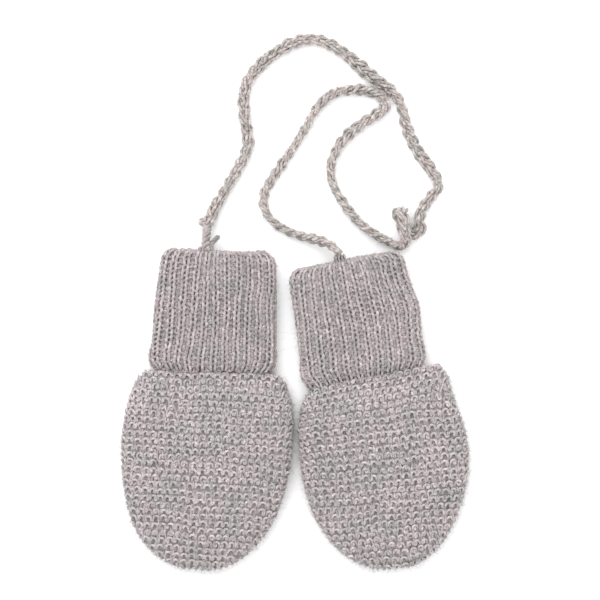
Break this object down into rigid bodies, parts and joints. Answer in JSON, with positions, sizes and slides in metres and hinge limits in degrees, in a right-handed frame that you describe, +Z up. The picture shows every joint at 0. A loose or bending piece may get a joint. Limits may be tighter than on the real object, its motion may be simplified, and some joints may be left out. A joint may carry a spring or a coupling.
{
  "type": "pair of baby mittens on a cord",
  "caption": "Pair of thumbless knitted mittens, each a ribbed cuff and an egg-shaped garter-stitch hand, joined mouth to mouth by one long knitted cord.",
  "frame": {"origin": "on the table, under the middle of the two mittens' bounding box, the cord left out", "axes": "+Z up from the table; +Y from the finger ends towards the cuffs; +X from the left mitten to the right one"},
  "size_m": [0.1584, 0.2426, 0.0158],
  "materials": {
    "ribbed_knit": "matte",
    "garter_knit": "matte",
    "sewing_yarn": "matte",
    "cord_yarn": "matte"
  },
  "bodies": {
    "cord": {"cord": "cord_yarn", "left_cord_link": "cord_yarn", "cord_knot": "cord_yarn"},
    "left_cuff": {"left_cuff": "ribbed_knit", "left_cuff_edge": "ribbed_knit", "left_cuff_seam": "sewing_yarn", "left_wrist_join": "ribbed_knit", "left_cord_anchor": "sewing_yarn", "left_yarn_tail": "sewing_yarn"},
    "left_hand": {"left_back_panel": "garter_knit", "left_palm_panel": "garter_knit", "left_inner_side_seam": "sewing_yarn", "left_outer_side_seam": "sewing_yarn", "left_tip_seam": "sewing_yarn"},
    "right_cuff": {"right_cuff": "ribbed_knit", "right_cuff_edge": "ribbed_knit", "right_cuff_seam": "sewing_yarn", "right_wrist_join": "ribbed_knit", "right_cord_anchor": "sewing_yarn"},
    "right_hand": {"right_back_panel": "garter_knit", "right_palm_panel": "garter_knit", "right_inner_side_seam": "sewing_yarn", "right_outer_side_seam": "sewing_yarn", "right_tip_seam": "sewing_yarn"}
  },
  "joints": [
    {"name": "left_lift", "type": "hinge", "parent": "cord", "child": "left_cuff", "pos_m": [-0.03477, 0.06771, 0.0123], "axis": [-1, 0, 0], "range_deg": [0, 120]},
    {"name": "left_wrist", "type": "hinge", "parent": "left_cuff", "child": "left_hand", "pos_m": [-0.03679, 0.01515, 0.0125], "axis": [-1, 0, 0], "range_deg": [0, 90]},
    {"name": "right_lift", "type": "hinge", "parent": "cord", "child": "right_cuff", "pos_m": [0.0226, 0.06477, 0.0123], "axis": [-1, 0, 0], "range_deg": [0, 120]},
    {"name": "right_wrist", "type": "hinge", "parent": "right_cuff", "child": "right_hand", "pos_m": [0.03192, 0.013, 0.0125], "axis": [-1, 0, 0], "range_deg": [0, 90]}
  ]
}
